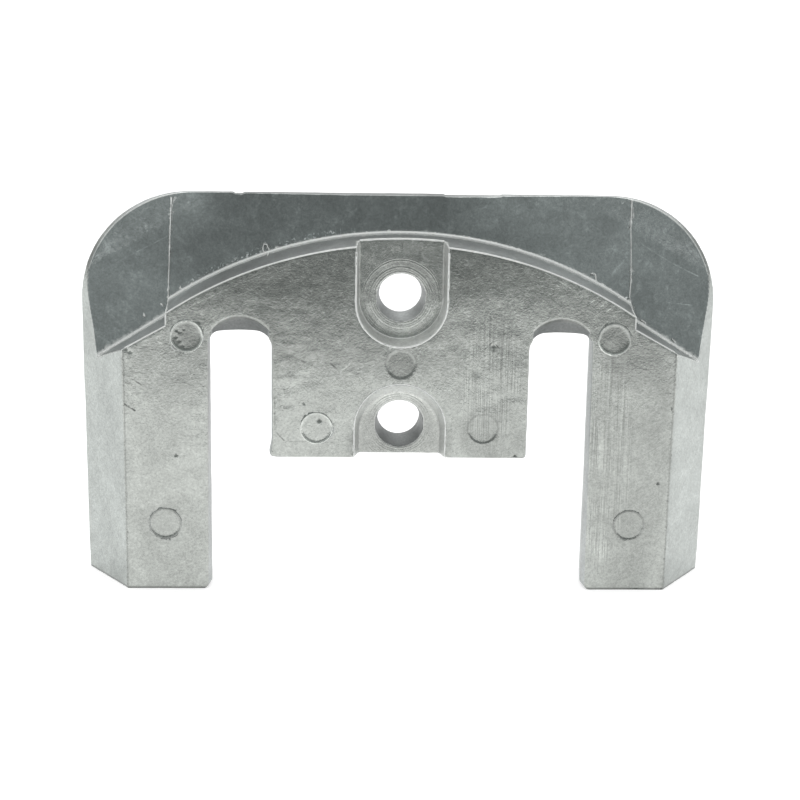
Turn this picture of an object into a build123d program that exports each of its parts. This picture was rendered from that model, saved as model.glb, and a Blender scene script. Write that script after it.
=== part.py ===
from build123d import *
from math import cos, radians, sin, tan
import os

# Sacrificial anode: one metal casting that stands on the ends of its two legs.
# X runs across the plate, Z up, and Y from the front face to the flat back.
# The origin is on the floor, midway between the legs and midway through the thickness.
# Every depth is measured back from the front face. All sizes are in millimetres.

# Plate
overall_width = 158.75
overall_height = 98.3
thickness = 16.5
back_land = 0.5
corner_radius = 27.3
bevel_width = 11.3
side_taper = 0.4

# Centre tongue, legs and the slots between them
tongue_width = 63.5
tongue_bottom = 34.5
tongue_corner = 0.8
leg_gap = 93.5
foot_break = 0.9
slot_top = 66.1
slot_tongue_corner = 4.0
slot_leg_corner = 2.5
parting_depth = 4.0
front_relief = 0.3
foot_relief = 0.4
back_relief = 1.5
scoop_width = 14.0
scoop_radius = 9.1
scoop_rise = 4.4

# Shelf above the arched wall, and its two plain ends
arch_radius = 103.0
arch_top = 88.4
wall_draft = 4.0
insert_width = 114.6
shelf_depth = 11.0
shelf_slope = 13.0
shelf_run = 16.0
end_wall_start = 67.9
end_wall_angle = 29.2
end_shelf_depth = 10.2
end_shelf_run = 18.7

# Bolt holes and their sunk seats
hole_spacing = 31.75
lower_hole_height = 42.4
hole_radius = 5.3
hole_mouth_radius = 6.0
hole_mouth_depth = 5.0
hole_back_radius = 6.5
hole_back_depth = 2.3
upper_seat_depth = 6.0
upper_seat_radius = 11.1
upper_seat_draft = 0.65
lower_seat_depth = 4.5
lower_seat_radius = 11.2
lower_seat_draft = 1.1
lower_seat_drop = 1.8

# Round marks left by the ejector pins, as distance from the middle and height
pin_radius = 3.8
pin_depth = 0.3
middle_pin_height = 58.7
paired_pins = [(20.6, 42.3), (52.3, 65.4), (58.1, 17.3)]

# Planes and sizes that follow from those above
front_y = -thickness / 2
back_y = thickness / 2
front_face = Plane.XZ.offset(-front_y)
bevel_foot = front_face.offset(back_land - thickness)
back_face = front_face.offset(-thickness)
upper_hole_height = lower_hole_height + hole_spacing
arch_centre_height = arch_top - arch_radius
insert_half = insert_width / 2
parting = front_face.offset(-parting_depth)
slot_middle = (leg_gap + tongue_width) / 4
shelf_floor = shelf_depth + shelf_run * tan(radians(shelf_slope))
overrun = 1.0
clear = overall_width


def plate_outline(plane, half_width):
    """Sketches the plate's outline: square feet and round upper corners."""
    foot = half_width - side_taper
    bend = half_width - corner_radius
    shoulder = overall_height - corner_radius
    with BuildSketch(plane) as outline:
        with BuildLine():
            Line((-foot, 0), (foot, 0))
            Line((foot, 0), (half_width, shoulder))
            CenterArc((bend, shoulder), corner_radius, 0, 90)
            Line((bend, overall_height), (-bend, overall_height))
            CenterArc((-bend, shoulder), corner_radius, 90, 90)
            Line((-half_width, shoulder), (-foot, 0))
        make_face()
    return outline.sketch


def leg_gap_outline(plane, spread=0.0, foot_spread=0.0):
    """Sketches the open shape between the legs and round the tongue, wider by spread all round."""
    tongue_half = tongue_width / 2 - spread
    tongue_end = tongue_bottom + spread
    top = slot_top + spread
    top_half = leg_gap / 2 + spread
    foot_half = top_half + foot_spread
    with BuildSketch(plane) as outline:
        with BuildLine():
            Polyline(
                (-foot_half - foot_break, -foot_break),
                (-foot_half - foot_break, 0),
                (-foot_half, foot_break),
                (-top_half, top),
                (-tongue_half, top),
                (-tongue_half, tongue_end),
                (tongue_half, tongue_end),
                (tongue_half, top),
                (top_half, top),
                (foot_half, foot_break),
                (foot_half + foot_break, 0),
                (foot_half + foot_break, -foot_break),
                close=True,
            )
        make_face()
        fillet(vertices().group_by(Axis.Y)[-1].sort_by(Axis.X)[1:-1], radius=slot_tongue_corner)
        slot_line = vertices().group_by(Axis.Y)[-1].sort_by(Axis.X)
        fillet([slot_line[0], slot_line[-1]], radius=slot_leg_corner)
        tongue_line = vertices().filter_by_position(Axis.Y, tongue_end - tongue_corner, tongue_end)
        fillet(tongue_line, radius=tongue_corner)
    return outline.sketch


def seat_outline(plane, centre_height, radius, open_end):
    """Sketches a bolt seat: a half round about the hole, run straight out to its open end."""
    with BuildSketch(plane) as outline:
        with Locations((0, centre_height)):
            Circle(radius)
        with Locations((0, (centre_height + open_end) / 2)):
            Rectangle(2 * radius, abs(open_end - centre_height))
    return outline.sketch


# Cutter for the middle of the shelf: an arched wall, then a floor that falls away outwards.
with BuildPart() as arch_recess:
    with BuildSketch(Plane.YZ) as arch_section:
        wall_foot = arch_top + shelf_depth * tan(radians(wall_draft))
        with BuildLine():
            Polyline(
                (front_y - overrun, arch_top),
                (front_y, arch_top),
                (front_y + shelf_depth, wall_foot),
                (front_y + shelf_floor, wall_foot + shelf_run),
                (front_y + shelf_floor, wall_foot + clear),
                (front_y - overrun, wall_foot + clear),
                close=True,
            )
        make_face()
    revolve(axis=Axis((0, 0, arch_centre_height), (0, 1, 0)))
    with BuildSketch(Plane.XY) as insert_plan:
        Rectangle(insert_width, clear)
    extrude(amount=clear, mode=Mode.INTERSECT)

# Cutter for the two ends of the shelf: a straight wall and a slope at right angles to it.
wall_along = Vector(cos(radians(end_wall_angle)), 0, -sin(radians(end_wall_angle)))
wall_across = Vector(sin(radians(end_wall_angle)), 0, cos(radians(end_wall_angle)))
wall_section = Plane(
    origin=(insert_half, front_y, end_wall_start), x_dir=wall_across, z_dir=wall_along
)
with BuildPart() as end_recess:
    with BuildSketch(wall_section) as end_section:
        end_foot = end_shelf_depth * tan(radians(wall_draft))
        with BuildLine():
            Polyline(
                (0, overrun),
                (0, 0),
                (end_foot, -end_shelf_depth),
                (end_foot + end_shelf_run, -shelf_floor),
                (clear, -shelf_floor),
                (clear, overrun),
                close=True,
            )
        make_face()
    extrude(amount=clear, both=True)
    split(bisect_by=Plane.YZ.offset(insert_half), keep=Keep.TOP)
    mirror(about=Plane.YZ)

with BuildPart() as anode_casting:
    # Plate with bevelled sides, on a thin square-edged land
    wide = overall_width / 2
    loft([plate_outline(front_face, wide - bevel_width), plate_outline(bevel_foot, wide)], ruled=True)
    extrude(plate_outline(back_face, wide), amount=back_land)

    # Shelf
    add(arch_recess.part, mode=Mode.SUBTRACT)
    add(end_recess.part, mode=Mode.SUBTRACT)

    # Space between the legs, which opens out both ways from its parting line
    loft(
        [
            leg_gap_outline(front_face, front_relief, foot_relief),
            leg_gap_outline(parting),
            leg_gap_outline(back_face, back_relief),
        ],
        ruled=True,
        mode=Mode.SUBTRACT,
    )

    # Scoop over each slot, slanted from the front face down to the parting line
    with BuildSketch(front_face) as scoops:
        with Locations((-slot_middle, slot_top), (slot_middle, slot_top)):
            Rectangle(scoop_width, 2 * scoop_rise)
        with BuildSketch(front_face, mode=Mode.INTERSECT) as rounds:
            scoop_centre = slot_top + scoop_rise - scoop_radius
            with Locations((-slot_middle, scoop_centre), (slot_middle, scoop_centre)):
                Circle(scoop_radius)
    scoop_run = Vector(0, parting_depth, -scoop_rise)
    extrude(amount=scoop_run.length + overrun, dir=scoop_run, mode=Mode.SUBTRACT)

    # Upper seat, open into the shelf, and lower seat, open through the end of the tongue
    upper_floor = front_face.offset(-upper_seat_depth)
    upper_floor_radius = upper_seat_radius - upper_seat_draft
    loft(
        [
            seat_outline(front_face, upper_hole_height, upper_seat_radius, overall_height),
            seat_outline(upper_floor, upper_hole_height, upper_floor_radius, overall_height),
        ],
        ruled=True,
        mode=Mode.SUBTRACT,
    )
    lower_floor = front_face.offset(-lower_seat_depth)
    lower_floor_radius = lower_seat_radius - lower_seat_draft
    below_tongue = tongue_bottom - lower_seat_radius
    loft(
        [
            seat_outline(front_face, lower_hole_height, lower_seat_radius, below_tongue),
            seat_outline(
                lower_floor, lower_hole_height - lower_seat_drop, lower_floor_radius, below_tongue
            ),
        ],
        ruled=True,
        mode=Mode.SUBTRACT,
    )

    # Bolt holes, each with a tapered mouth in its seat and a countersunk back
    from_floor = (Align.CENTER, Align.CENTER, Align.MIN)
    for seat_depth, height in (
        (lower_seat_depth, lower_hole_height),
        (upper_seat_depth, upper_hole_height),
    ):
        with Locations(Plane(origin=(0, front_y + seat_depth, height), z_dir=(0, 1, 0))):
            Cone(hole_mouth_radius, hole_radius, hole_mouth_depth, align=from_floor, mode=Mode.SUBTRACT)
        with Locations(Plane(origin=(0, back_y, height), z_dir=(0, -1, 0))):
            Cone(hole_back_radius, hole_radius, hole_back_depth, align=from_floor, mode=Mode.SUBTRACT)
        with Locations(Plane(origin=(0, front_y, height), z_dir=(0, -1, 0))):
            Hole(hole_radius)

    # Ejector pin marks
    pin_spots = [(side * x, z) for x, z in paired_pins for side in (-1, 1)]
    with BuildSketch(front_face.offset(-pin_depth)) as pins:
        with Locations((0, middle_pin_height), *pin_spots):
            Circle(pin_radius)
    extrude(amount=2 * pin_depth, mode=Mode.SUBTRACT)

anode_casting.part.label = "anode_casting"
os.makedirs("parts", exist_ok=True)
export_step(anode_casting.part, "parts/anode_casting.step")
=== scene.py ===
"""Looks of a sacrificial anode: one metal casting on the pale floor of a small studio."""

import logging
import math
from dataclasses import dataclass
from enum import Enum

import bmesh
import bpy
import numpy as np
from mathutils import Matrix, Vector
from mathutils.bvhtree import BVHTree


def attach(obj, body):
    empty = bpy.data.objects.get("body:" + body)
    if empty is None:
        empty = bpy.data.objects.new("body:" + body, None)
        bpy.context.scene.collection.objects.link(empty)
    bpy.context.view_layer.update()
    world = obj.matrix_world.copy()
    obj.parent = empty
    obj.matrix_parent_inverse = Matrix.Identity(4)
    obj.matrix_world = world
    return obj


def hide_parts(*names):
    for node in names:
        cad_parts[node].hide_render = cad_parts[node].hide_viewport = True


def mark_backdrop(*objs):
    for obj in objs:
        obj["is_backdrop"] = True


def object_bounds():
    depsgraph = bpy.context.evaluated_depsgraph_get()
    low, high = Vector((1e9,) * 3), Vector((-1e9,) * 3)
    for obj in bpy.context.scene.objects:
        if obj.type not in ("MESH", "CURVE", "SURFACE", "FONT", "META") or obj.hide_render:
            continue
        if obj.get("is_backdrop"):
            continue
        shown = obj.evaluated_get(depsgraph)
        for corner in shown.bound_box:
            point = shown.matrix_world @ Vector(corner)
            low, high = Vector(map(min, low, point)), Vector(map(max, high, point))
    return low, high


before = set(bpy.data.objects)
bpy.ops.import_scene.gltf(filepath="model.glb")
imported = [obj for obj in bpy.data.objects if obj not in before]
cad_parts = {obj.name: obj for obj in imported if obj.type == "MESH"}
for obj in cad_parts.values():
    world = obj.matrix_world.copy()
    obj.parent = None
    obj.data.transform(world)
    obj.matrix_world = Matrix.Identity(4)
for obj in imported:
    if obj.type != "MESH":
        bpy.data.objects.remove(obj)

LOG = logging.getLogger("anode")
MM = 0.001
Point = tuple[float, float]
Colour = tuple[float, float, float]
Path = tuple[tuple[float, ...], ...]
Socket = bpy.types.NodeSocket

CASTING_NODE = "anode_casting"
CASTING_BODY = "root"
METAL_SLOT = "cast_metal"

# Half the length of what runs right through the casting, in millimetres.
FAR = 1e4

# Value noise: its number of random values, the steps that spread its cells over them, and the
# shift between its layers.
NOISE_TABLE = 1 << 16
NOISE_STEPS = np.array((73856093, 19349663, 83492791))
NOISE_SHIFT = 17.3


class Zone(Enum):
    """Parts of the casting's surface, each a point attribute that its metal reads."""

    SHELF = "shelf"
    SEAT = "seat"
    BEVEL = "bevel"
    FACE = "face"
    WALL = "wall"
    UNDER = "under"
    BACK = "back"
    RIDGE = "ridge"
    HOLLOW = "hollow"
    RIM = "rim"


def ease(value: np.ndarray, low: float, high: float) -> np.ndarray:
    """Steps smoothly from 0 at low to 1 at high.

    Args:
        value: numbers to step.
        low: where the step starts; it may be the larger one.
        high: where the step ends.

    Returns:
        The stepped numbers.
    """
    share = np.clip((value - low) / (high - low), 0.0, 1.0)
    return share * share * (3.0 - 2.0 * share)


@dataclass(frozen=True)
class ValueNoise:
    """Smooth noise between about -1 and 1.

    Attributes:
        seed: picks the pattern.
    """

    seed: int

    def layer(self, points: np.ndarray) -> np.ndarray:
        """Reads one layer of noise with a wavelength of about one unit.

        Args:
            points: one row of three numbers for each point.

        Returns:
            One number for each point.
        """
        table = np.random.default_rng(self.seed).uniform(-1.0, 1.0, NOISE_TABLE)
        cell = np.floor(points).astype(np.int64)
        part = ease(points - cell, 0.0, 1.0)
        total = np.zeros(len(points))
        for corner in range(8):
            bits = np.array([corner & 1, corner >> 1 & 1, corner >> 2 & 1])
            key = np.bitwise_xor.reduce((cell + bits) * NOISE_STEPS, axis=1)
            weight = np.prod(np.where(bits, part, 1.0 - part), axis=1)
            total += weight * table[key & NOISE_TABLE - 1]
        return total

    def cloud(self, points: np.ndarray, wavelength: float | tuple, octaves: int = 3) -> np.ndarray:
        """Adds up layers of noise, each half as large and half as strong as the one before.

        Args:
            points: one row of three numbers for each point.
            wavelength: size of the largest layer, or its size along X, Y and Z.
            octaves: number of layers.

        Returns:
            One number for each point.
        """
        total = np.zeros(len(points))
        for level in range(octaves):
            laid = points / np.array(wavelength) * 2**level + NOISE_SHIFT * level
            total += self.layer(laid) / 2**level
        return total


class NodeBench:
    """Adds nodes to one tree and joins them up.

    Args:
        tree: the node tree to work on.
    """

    def __init__(self, tree: bpy.types.NodeTree) -> None:
        """Keeps the tree."""
        self.tree = tree

    def feed(self, socket: Socket, value: object) -> None:
        """Links a socket to another one, or sets its value."""
        if isinstance(value, Socket):
            self.tree.links.new(value, socket)
        elif socket.type == "RGBA":
            socket.default_value = (*value[:3], 1.0)
        else:
            socket.default_value = value

    def fill(self, node: bpy.types.Node, inputs: dict) -> bpy.types.Node:
        """Gives a node a value or a link for each input, by its name or number."""
        for key, value in inputs.items():
            self.feed(node.inputs[key], value)
        return node

    def add(self, kind: str, inputs: dict | None = None, **settings: object) -> bpy.types.Node:
        """Adds one node.

        Args:
            kind: the node's type name.
            inputs: a value or a socket for each input, by its name or number.
            settings: the node's own settings.

        Returns:
            The node.
        """
        node = self.tree.nodes.new(kind)
        for name, value in settings.items():
            setattr(node, name, value)
        return self.fill(node, inputs or {})

    def maths(self, operation: str, *values: object, clamp: bool = False) -> Socket:
        """Adds a Math node and gives its result."""
        node = self.add("ShaderNodeMath", dict(enumerate(values)), operation=operation, use_clamp=clamp)
        return node.outputs[0]

    def times(self, whole: object, *others: object) -> Socket:
        """Multiplies its values."""
        for other in others:
            whole = self.maths("MULTIPLY", whole, other)
        return whole

    def off(self, value: object, middle: float = 0.0) -> Socket:
        """Tells how far a value is from a middle one."""
        return self.maths("ABSOLUTE", self.maths("SUBTRACT", value, middle))

    def vector(self, operation: str, *values: object) -> bpy.types.NodeOutputs:
        """Adds a Vector Math node and gives its outputs."""
        return self.add("ShaderNodeVectorMath", dict(enumerate(values)), operation=operation).outputs

    def parts(self, at: object) -> bpy.types.NodeOutputs:
        """Splits a position into X, Y and Z."""
        return self.add("ShaderNodeSeparateXYZ", {0: at}).outputs

    def from_axis(self, at: object, x: float, z: float) -> tuple[Socket, Socket]:
        """Gives the way and the distance from the axis that runs along Y at x and z."""
        moved = self.vector("SUBTRACT", at, (x, 0.0, z))[0]
        flat = self.vector("MULTIPLY", moved, (1, 0, 1))[0]
        return flat, self.vector("LENGTH", flat)["Value"]

    def step(
        self, value: object, low: float, high: float, start: float = 0.0, end: float = 1.0
    ) -> Socket:
        """Steps smoothly from start, where the value is low, to end, where it is high."""
        node = self.add(
            "ShaderNodeMapRange",
            {"Value": value, "From Min": low, "From Max": high, "To Min": start, "To Max": end},
            interpolation_type="SMOOTHSTEP",
        )
        return node.outputs["Result"]

    def noise(
        self, at: object, wavelength: float, detail: float = 3.0, roughness: float = 0.5, warp: float = 0.0
    ) -> Socket:
        """Adds noise of about the given wavelength, from 0 to 1."""
        inputs = {"Vector": at, "Scale": 1.0 / wavelength, "Detail": detail, "Roughness": roughness}
        return self.add("ShaderNodeTexNoise", inputs | {"Distortion": warp}).outputs["Fac"]

    def placed(self, at: object, centre: tuple, size: tuple, turn: float = 0.0) -> Socket:
        """Moves a pattern's origin to centre, turns it about Y and makes it size times as large."""
        for name, value in (
            ("Location", [-part for part in centre]),
            ("Rotation", (0, math.radians(turn), 0)),
            ("Scale", [1 / part for part in size]),
        ):
            at = self.add("ShaderNodeMapping", {"Vector": at, name: value}).outputs[0]
        return at

    def spot(self, at: object, centre: tuple, size: tuple, turn: float, edge: float) -> Socket:
        """Makes a soft patch: 1 at its centre and 0 outside the given half sizes."""
        laid = self.placed(at, centre, size, turn)
        ball = self.add("ShaderNodeTexGradient", {"Vector": laid}, gradient_type="SPHERICAL")
        return self.step(ball.outputs["Fac"], 0.0, edge)

    def blend(self, share: object, first: object, second: object, mode: str = "MIX") -> Socket:
        """Mixes two colours."""
        inputs = {0: share, 6: first, 7: second}
        return self.add("ShaderNodeMix", inputs, data_type="RGBA", blend_type=mode).outputs[2]


def start_material(name: str) -> tuple[bpy.types.Material, NodeBench, bpy.types.Node]:
    """Starts a material, and gives it with its bench and its shader."""
    material = bpy.data.materials.new(name)
    material.use_nodes = True
    return material, NodeBench(material.node_tree), material.node_tree.nodes["Principled BSDF"]


def start_tree(name: str, inputs: dict[str, float]) -> NodeBench:
    """Starts a node tree that makes something of metal from points or lines.

    Args:
        name: the tree's name.
        inputs: its numbers, each with a value to start from.

    Returns:
        A bench for the tree.
    """
    tree = bpy.data.node_groups.new(name, "GeometryNodeTree")
    for way in ("INPUT", "OUTPUT"):
        tree.interface.new_socket("Geometry", in_out=way, socket_type="NodeSocketGeometry")
    for label, value in inputs.items():
        kind = "NodeSocketInt" if isinstance(value, int) else "NodeSocketFloat"
        tree.interface.new_socket(label, in_out="INPUT", socket_type=kind).default_value = value
    tree.interface.new_socket("Metal", in_out="INPUT", socket_type="NodeSocketMaterial")
    return NodeBench(tree)


def end_tree(bench: NodeBench, made: Socket, metal: Socket) -> bpy.types.NodeTree:
    """Ends a node tree: makes copies real, gives the metal and hands out the result."""
    whole = bench.add("GeometryNodeRealizeInstances", {"Geometry": made})
    coated = bench.add("GeometryNodeSetMaterial", {"Geometry": whole.outputs[0], "Material": metal})
    bench.add("NodeGroupOutput", {0: coated.outputs[0]})
    return bench.tree


def put(name: str, data: bpy.types.ID) -> bpy.types.Object:
    """Makes an object and puts it in the scene."""
    thing = bpy.data.objects.new(name, data)
    bpy.context.scene.collection.objects.link(thing)
    return thing


def bake(holder: bpy.types.Object) -> bpy.types.Mesh:
    """Turns an object and its modifiers into a plain mesh, and removes the object."""
    graph = bpy.context.evaluated_depsgraph_get()
    mesh = bpy.data.meshes.new_from_object(holder.evaluated_get(graph))
    bpy.data.objects.remove(holder)
    return mesh


def run_tree(mesh: bpy.types.Mesh, tree: bpy.types.NodeTree, inputs: dict[str, object]) -> bpy.types.Mesh:
    """Runs a node tree on a mesh.

    Args:
        mesh: the points or lines to start from.
        tree: the node tree.
        inputs: a value for each of its inputs, by name.

    Returns:
        A plain mesh.
    """
    holder = put(mesh.name, mesh)
    modifier = holder.modifiers.new(tree.name, "NODES")
    modifier.node_group = tree
    sockets = {item.name: item.identifier for item in tree.interface.items_tree if item.in_out == "INPUT"}
    for name, value in inputs.items():
        modifier[sockets[name]] = value
    return bake(holder)


@dataclass(frozen=True)
class Patch:
    """A soft-edged place on the front of the casting.

    Attributes:
        x: its middle, across.
        z: its middle, up.
        half_x: half its width.
        half_z: half its height.
        turn: angle it is turned by, in degrees.
        amount: how strongly it shows.
    """

    x: float
    z: float
    half_x: float
    half_z: float
    turn: float = 0.0
    amount: float = 1.0

    def mask(self, bench: NodeBench, at: object) -> Socket:
        """Builds the patch's mask, from 0 to its amount."""
        spot = bench.spot(at, (self.x, 0.0, self.z), (self.half_x, FAR, self.half_z), self.turn, 0.4)
        return bench.times(spot, self.amount)


@dataclass(frozen=True)
class Scratch:
    """A thin straight line on the front of the casting, lighter or darker than the metal.

    Attributes:
        start: one end, as distance across and height in millimetres.
        end: the other end.
        amount: how much lighter it is, or darker if below 0.
        width: half its width.
    """

    start: Point
    end: Point
    amount: float
    width: float = 0.22

    def mask(self, bench: NodeBench, at: object) -> Socket:
        """Builds the line, from 0 to its amount."""
        across, up = (b - a for a, b in zip(self.start, self.end))
        middle = ((self.start[0] + self.end[0]) / 2, 0.0, (self.start[1] + self.end[1]) / 2)
        size = (math.hypot(across, up) / 2, 1.0, self.width)
        where = bench.parts(bench.placed(at, middle, size, math.degrees(math.atan2(up, across))))
        along = bench.step(bench.off(where["X"]), 1.0, 0.8)
        beside = bench.step(bench.off(where["Z"]), 1.0, 0.1)
        return bench.times(along, beside, self.amount)


@dataclass(frozen=True)
class PinMark:
    """One ejector pin mark, drawn as a thin ring with a stronger arc of painted light and shade on one side.

    Attributes:
        x: its middle, across.
        z: its middle, up.
        ring: how much lighter the whole ring is, or darker if below 0.
        painted_arc: painted highlight on the stronger side, as a share of lightness; below 0 it is painted
            shade.
        side: the way of the stronger side, in degrees up from +X.
        lip: depth of the middle of its raised lip, if it has one.
    """

    x: float
    z: float
    ring: float
    painted_arc: float
    side: float
    lip: float | None = None

    def mask(self, bench: NodeBench, at: object, radius: float) -> Socket:
        """Builds the ring's lightness, with its arc of painted light and shade, 0 away from it."""
        flat, reach = bench.from_axis(at, self.x, self.z)
        turn = math.radians(self.side)
        way = bench.vector("DOT_PRODUCT", flat, (math.cos(turn), 0.0, math.sin(turn)))["Value"]
        lobe = bench.step(bench.maths("DIVIDE", way, radius), 0.1, 0.95)
        edge = bench.step(bench.off(reach, radius), 0.42, 0.1)
        return bench.times(edge, bench.maths("MULTIPLY_ADD", lobe, self.painted_arc, self.ring))


# Each mark: its middle, its ring, the arc of painted light and shade on one side, that side and its lip.
PIN_MARKS = (
    PinMark(0.0, 58.7, -0.2, 0.1, -90.0),
    PinMark(-20.6, 42.3, 0.3, 0.3, -70.0, 0.1),
    PinMark(20.6, 42.3, -0.18, 0.05, -80.0),
    PinMark(-52.3, 65.4, 0.5, 0.35, -30.0, 0.12),
    PinMark(52.3, 65.4, 0.05, 0.9, -110.0, 0.2),
    PinMark(-58.1, 17.3, -0.15, 0.0, -70.0, 0.1),
    PinMark(58.1, 17.3, -0.25, 0.1, -60.0, 0.2),
)


@dataclass(frozen=True)
class Ground:
    """What the metal's patterns are built on.

    Attributes:
        bench: the material's nodes.
        at: position in millimetres.
        zones: the mask of each zone.
        front: the mask of the face and the shelf together.
        plate: the casting's sizes.
    """

    bench: NodeBench
    at: Socket
    zones: dict[Zone, Socket]
    front: Socket
    plate: "Plate"


@dataclass(frozen=True)
class CastMetal:
    """The bare, slightly oxidised metal of the casting.

    Attributes:
        face, shelf, seat, bevel, wall, rim: its colour in each zone; the shelf, wall and rim colours are
            lighter copies of the one cast colour, painted light on faces that get less light.
        bright: its colour on the edges, for their wear and as painted highlight.
        shade_and_line_tone: the colour of the dark lines along the bevels and of the painted shade at the
            feet and in hollows.
        roughness: how matt it is.
        metallic: how metallic it is.
        chalky: how much less metallic its edges are.
        clouds, mottle, specks, lines, brush: how strongly each pattern changes its tone.
        dulling, under_shade: how much darker the darker places are, and how much darker the undersides are,
            as painted shade.
        smears: how much lighter the shelf's smears are.
        darkest: the least share of light that a mark leaves.
        wear_and_highlight: how far the edges go to the bright colour, partly wear and partly painted
            highlight.
        skin_height, line_height, grain_height, brush_height, ring_height: relief in millimetres.
        ring_pitch: distance between the turned rings.
        brushed: places brushed up and down.
        hatched: places with slanted strokes.
        dark_places: darker places on the front, mostly painted shade: over the upper face, more to the left,
            and over the lower seat; the others darken three pin marks, the tongue's right and the right leg.
        scratches: its scratches.
    """

    face: Colour = (0.43, 0.448, 0.425)
    shelf: Colour = (0.50, 0.535, 0.53)
    seat: Colour = (0.60, 0.62, 0.59)
    bevel: Colour = (0.394, 0.418, 0.402)
    wall: Colour = (0.47, 0.49, 0.485)
    rim: Colour = (0.72, 0.74, 0.715)
    bright: Colour = (0.88, 0.90, 0.88)
    shade_and_line_tone: Colour = (0.10, 0.105, 0.10)
    roughness: float = 0.22
    metallic: float = 0.96
    chalky: float = 0.55
    clouds: float = 0.6
    mottle: float = 0.55
    specks: float = 0.7
    lines: float = 0.42
    brush: float = 1.7
    darkening: float = 0.35
    under_shade: float = 0.5
    smears: float = 0.45
    darkest: float = 0.15
    wear_and_highlight: float = 0.75
    skin_height: float = 0.038
    line_height: float = 0.016
    grain_height: float = 0.012
    brush_height: float = 0.014
    ring_height: float = 0.1
    ring_pitch: float = 0.42
    brushed: tuple[Patch, ...] = (
        Patch(22.5, 55.0, 9.0, 21.0),
        Patch(51.5, 34.0, 7.5, 34.0),
    )
    hatched: tuple[Patch, ...] = (
        Patch(62.0, 36.0, 9.0, 22.0),
        Patch(-24.0, 73.0, 10.0, 5.0, 0.0, 0.8),
    )
    # Mostly painted shade: the upper face, darker to the left, and the lower seat.
    dark_places: tuple[Patch, ...] = (
        Patch(0.0, 58.7, 4.4, 4.4, 0.0, 0.8),
        Patch(52.3, 65.4, 4.4, 4.4, 0.0, 0.6),
        Patch(-52.3, 65.4, 4.4, 4.4, 0.0, 0.6),
        Patch(23.0, 41.0, 10.0, 9.0, 0.0, 0.5),
        Patch(-14.0, 84.0, 56.0, 15.0, 0.0, 0.85),
        Patch(0.0, 38.0, 15.0, 13.0, 0.0, 1.0),
        Patch(58.0, 38.0, 12.5, 46.0, 0.0, 0.4),
        Patch(-22.0, 70.0, 26.0, 14.0, -15.0, 0.55),
        Patch(-14.0, 95.0, 42.0, 11.0, 0.0, 1.0),
    )
    scratches: tuple[Scratch, ...] = (
        Scratch((-67.0, 82.4), (-57.3, 87.5), 0.25),
        Scratch((-74.5, 78.0), (-67.0, 82.4), 0.1),
        Scratch((59.7, 86.7), (68.0, 81.7), 0.2),
        Scratch((68.0, 81.7), (75.3, 78.2), 0.35),
        Scratch((66.6, 72.2), (73.4, 71.4), 0.3),
        Scratch((-51.6, 72.7), (-39.2, 78.7), 0.3),
        Scratch((-39.2, 78.7), (-32.0, 81.3), 0.2),
        Scratch((33.3, 82.6), (43.3, 76.8), 0.25),
        Scratch((-30.9, 50.7), (-30.8, 41.5), -0.22, 0.3),
        Scratch((-30.8, 41.5), (-28.4, 38.9), -0.25, 0.3),
        Scratch((-28.4, 38.9), (-14.0, 38.6), -0.15, 0.3),
        Scratch((20.2, 62.4), (22.5, 64.7), -0.55, 0.2),
        Scratch((22.5, 64.7), (24.3, 62.6), -0.55, 0.2),
        Scratch((-66.0, 54.7), (-63.1, 52.9), -0.4, 0.25),
        Scratch((-68.0, 48.4), (-64.8, 46.3), -0.5, 0.35),
        Scratch((-67.6, 53.6), (-65.4, 53.2), -0.3, 0.25),
        Scratch((45.8, 74.4), (48.4, 76.5), 0.35),
        Scratch((46.8, 73.6), (49.3, 75.7), -0.25),
        Scratch((47.9, 73.1), (50.2, 74.9), 0.4),
        Scratch((48.9, 72.6), (51.4, 74.7), -0.25),
        Scratch((49.8, 72.2), (52.2, 74.2), 0.4),
        Scratch((50.8, 71.8), (52.8, 73.4), -0.2),
        Scratch((51.6, 71.2), (53.4, 72.7), 0.35),
        Scratch((53.0, 70.6), (54.4, 71.8), 0.3),
        Scratch((-49.0, 72.0), (-47.2, 74.0), -0.2),
        Scratch((-28.6, 61.4), (-20.5, 57.6), -0.18, 0.35),
        Scratch((-29.5, 68.4), (-24.5, 70.9), 0.2, 0.35),
        Scratch((-17.4, 59.0), (-14.9, 56.7), -0.35, 0.3),
        Scratch((-14.9, 56.7), (-12.0, 59.3), 0.3, 0.3),
    )

    def material(self, plate: "Plate") -> bpy.types.Material:
        """Builds the metal.

        Args:
            plate: the casting's sizes, which place the marks on it.

        Returns:
            The finished material.
        """
        metal, bench, shader = start_material(METAL_SLOT)
        metres = bench.add("ShaderNodeTexCoord").outputs["Object"]
        at = bench.add("ShaderNodeVectorMath", {0: metres, "Scale": 1.0 / MM}, operation="SCALE").outputs[0]
        zones = {
            zone: bench.add("ShaderNodeAttribute", attribute_name=zone.value).outputs["Fac"] for zone in Zone
        }
        front = bench.maths("ADD", zones[Zone.FACE], zones[Zone.SHELF], clamp=True)
        edges = bench.maths("MAXIMUM", zones[Zone.RIDGE], zones[Zone.RIM])
        ground = Ground(bench, at, zones, front, plate)
        strokes = self.strokes(ground)
        tone, shine = self.colouring(ground, strokes)
        bump = {"Strength": 1.0, "Distance": MM, "Height": self.relief(ground, strokes)}
        inputs = {
            "Metallic": bench.maths("MULTIPLY_ADD", edges, -self.chalky, self.metallic),
            "Base Color": tone,
            "Roughness": shine,
            "Normal": bench.add("ShaderNodeBump", bump).outputs[0],
        }
        bench.fill(shader, inputs)
        return metal

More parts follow.
